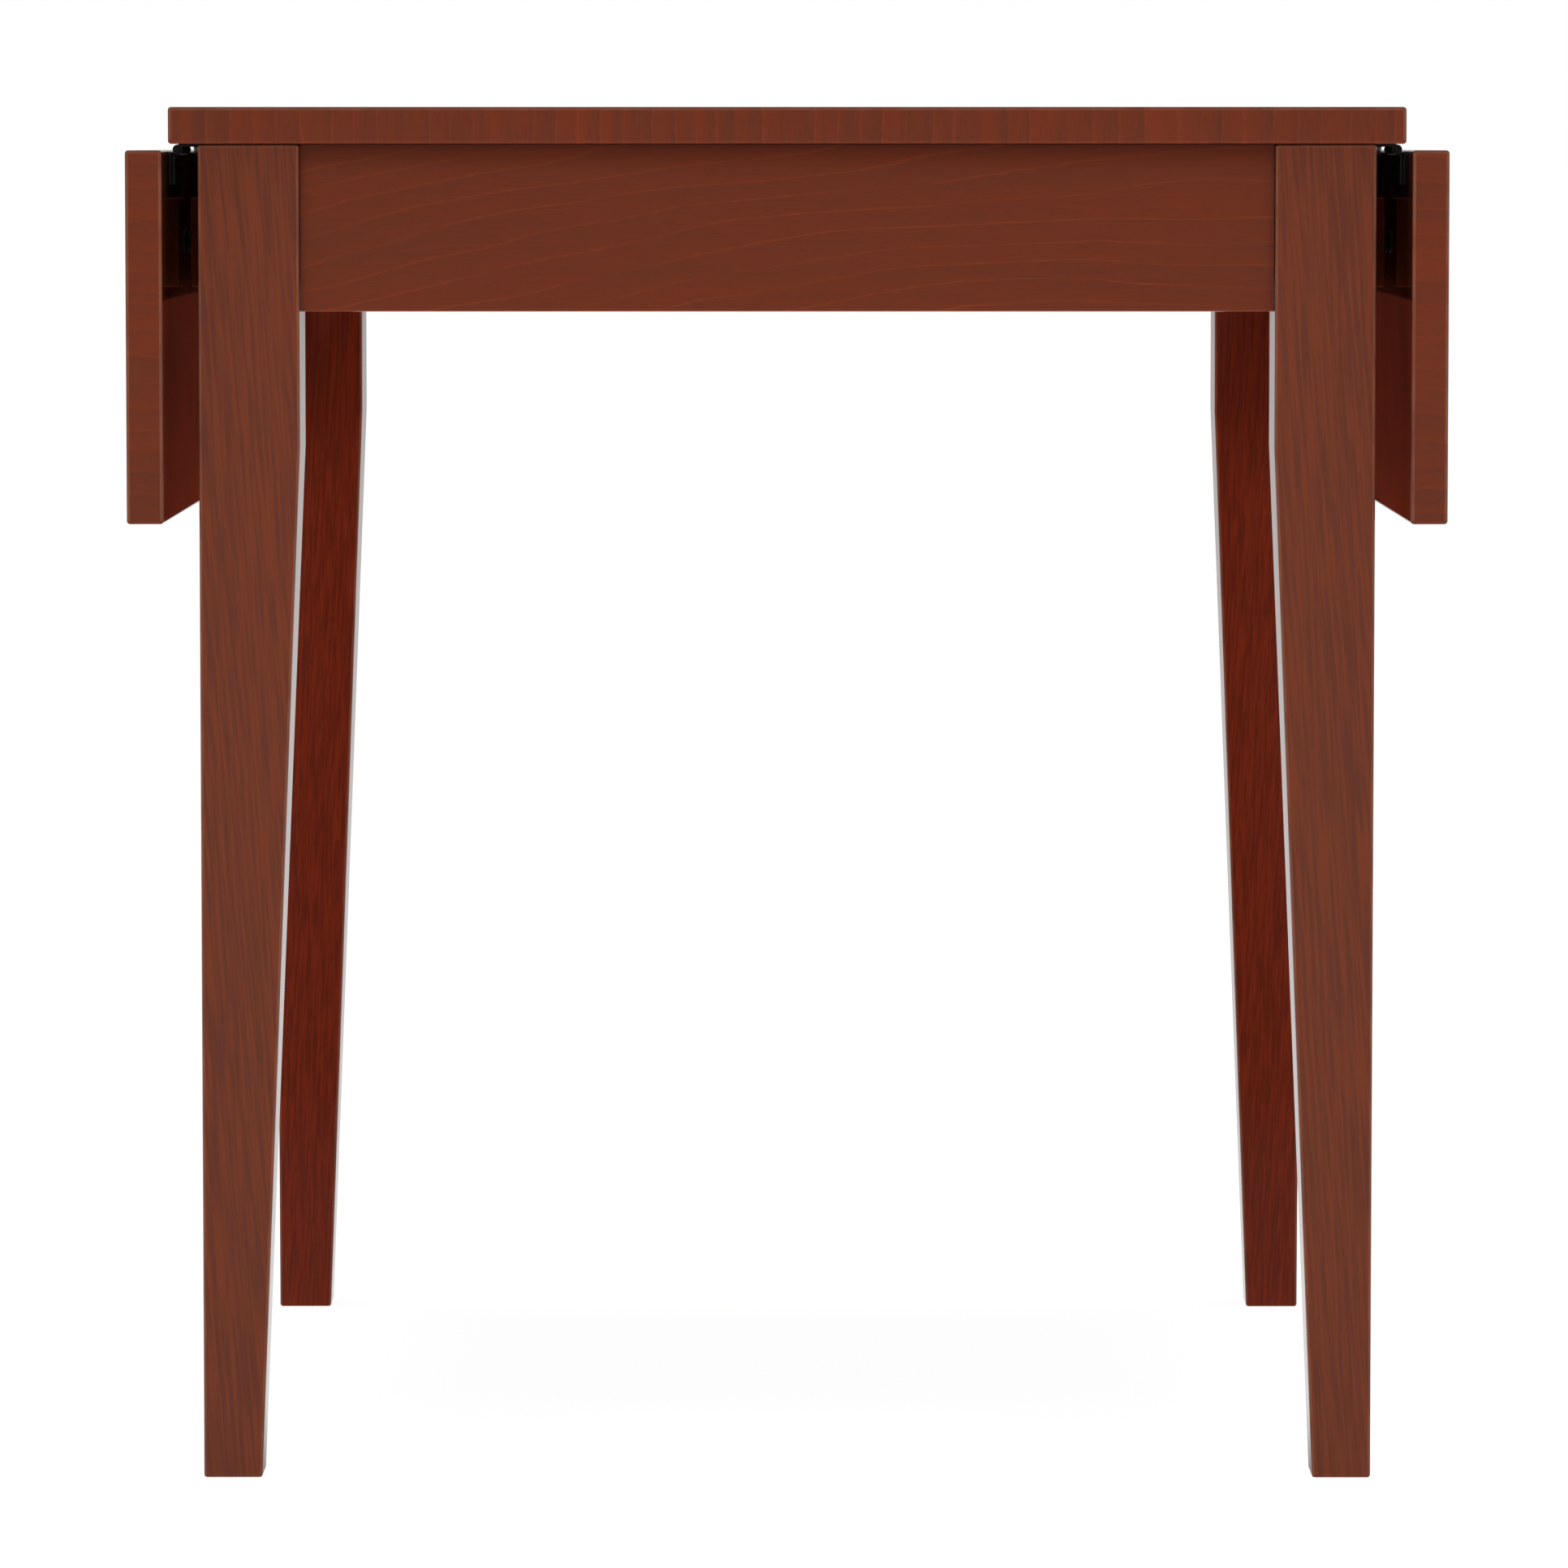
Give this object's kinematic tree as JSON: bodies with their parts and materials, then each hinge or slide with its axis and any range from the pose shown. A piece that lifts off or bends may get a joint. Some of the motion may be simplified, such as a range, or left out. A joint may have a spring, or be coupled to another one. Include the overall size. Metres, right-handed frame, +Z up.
{
  "type": "drop-leaf dining table",
  "caption": "Drop-leaf dining table: a square fixed top on tapered legs, with a hinged leaf along each side that swings up onto swing-out support arms.",
  "frame": {"origin": "on the floor, under the middle of the fixed top", "axes": "+Z up; the front faces -Y; the leaves are at -X (left) and +X (right), with their hinge lines along Y"},
  "size_m": [0.7168, 0.75, 0.75],
  "materials": {
    "stained_wood": "reddish-brown stain under satin lacquer",
    "frame_wood": "plain sawn hardwood",
    "black_steel": "black enamel",
    "zinc_steel": "zinc plated",
    "black_rubber": "matt"
  },
  "bodies": {
    "frame": {"apron_front": "stained_wood", "apron_left": "stained_wood", "apron_rear": "stained_wood", "apron_right": "stained_wood", "corner_block_front_left": "frame_wood", "corner_block_front_right": "frame_wood", "corner_block_rear_left": "frame_wood", "corner_block_rear_right": "frame_wood", "hinge_pin_front_left": "black_steel", "hinge_pin_front_right": "black_steel", "hinge_pin_rear_left": "black_steel", "hinge_pin_rear_right": "black_steel", "hinge_top_plate_front_left": "black_steel", "hinge_top_plate_front_right": "black_steel", "hinge_top_plate_rear_left": "black_steel", "hinge_top_plate_rear_right": "black_steel", "leaf_bumper_front_left": "black_rubber", "leaf_bumper_front_right": "black_rubber", "leaf_bumper_rear_left": "black_rubber", "leaf_bumper_rear_right": "black_rubber", "leg_bolt_front_left": "zinc_steel", "leg_bolt_front_right": "zinc_steel", "leg_bolt_rear_left": "zinc_steel", "leg_bolt_rear_right": "zinc_steel", "leg_front_left": "stained_wood", "leg_front_right": "stained_wood", "leg_nut_front_left": "zinc_steel", "leg_nut_front_right": "zinc_steel", "leg_nut_rear_left": "zinc_steel", "leg_nut_rear_right": "zinc_steel", "leg_rear_left": "stained_wood", "leg_rear_right": "stained_wood", "support_block_front_left": "stained_wood", "support_block_front_right": "stained_wood", "support_block_rear_left": "stained_wood", "support_block_rear_right": "stained_wood", "table_top": "stained_wood", "top_cleat_front": "frame_wood", "top_cleat_rear": "frame_wood"},
    "leaf_left": {"leaf_left": "stained_wood", "hinge_leaf_plate_front_left": "black_steel", "hinge_leaf_plate_rear_left": "black_steel"},
    "leaf_right": {"leaf_right": "stained_wood", "hinge_leaf_plate_front_right": "black_steel", "hinge_leaf_plate_rear_right": "black_steel"},
    "support_front_left": {"support_arm_front_left": "black_steel"},
    "support_front_right": {"support_arm_front_right": "black_steel"},
    "support_rear_left": {"support_arm_rear_left": "black_steel"},
    "support_rear_right": {"support_arm_rear_right": "black_steel"}
  },
  "joints": [
    {"name": "leaf_left_hinge", "type": "hinge", "parent": "frame", "child": "leaf_left", "pos_m": [-0.3353, 0, 0.7269], "axis": [0, 1, 0], "range_deg": [0, 90]},
    {"name": "leaf_right_hinge", "type": "hinge", "parent": "frame", "child": "leaf_right", "pos_m": [0.3353, 0, 0.7269], "axis": [0, -1, 0], "range_deg": [0, 90]},
    {"name": "support_front_left_swing", "type": "hinge", "parent": "frame", "child": "support_front_left", "pos_m": [-0.3253, -0.182, 0.7], "axis": [0, 0, 1], "range_deg": [0, 90]},
    {"name": "support_front_right_swing", "type": "hinge", "parent": "frame", "child": "support_front_right", "pos_m": [0.3253, -0.182, 0.7], "axis": [0, 0, -1], "range_deg": [0, 90]},
    {"name": "support_rear_left_swing", "type": "hinge", "parent": "frame", "child": "support_rear_left", "pos_m": [-0.3253, 0.182, 0.7], "axis": [0, 0, -1], "range_deg": [0, 90]},
    {"name": "support_rear_right_swing", "type": "hinge", "parent": "frame", "child": "support_rear_right", "pos_m": [0.3253, 0.182, 0.7], "axis": [0, 0, 1], "range_deg": [0, 90]}
  ]
}
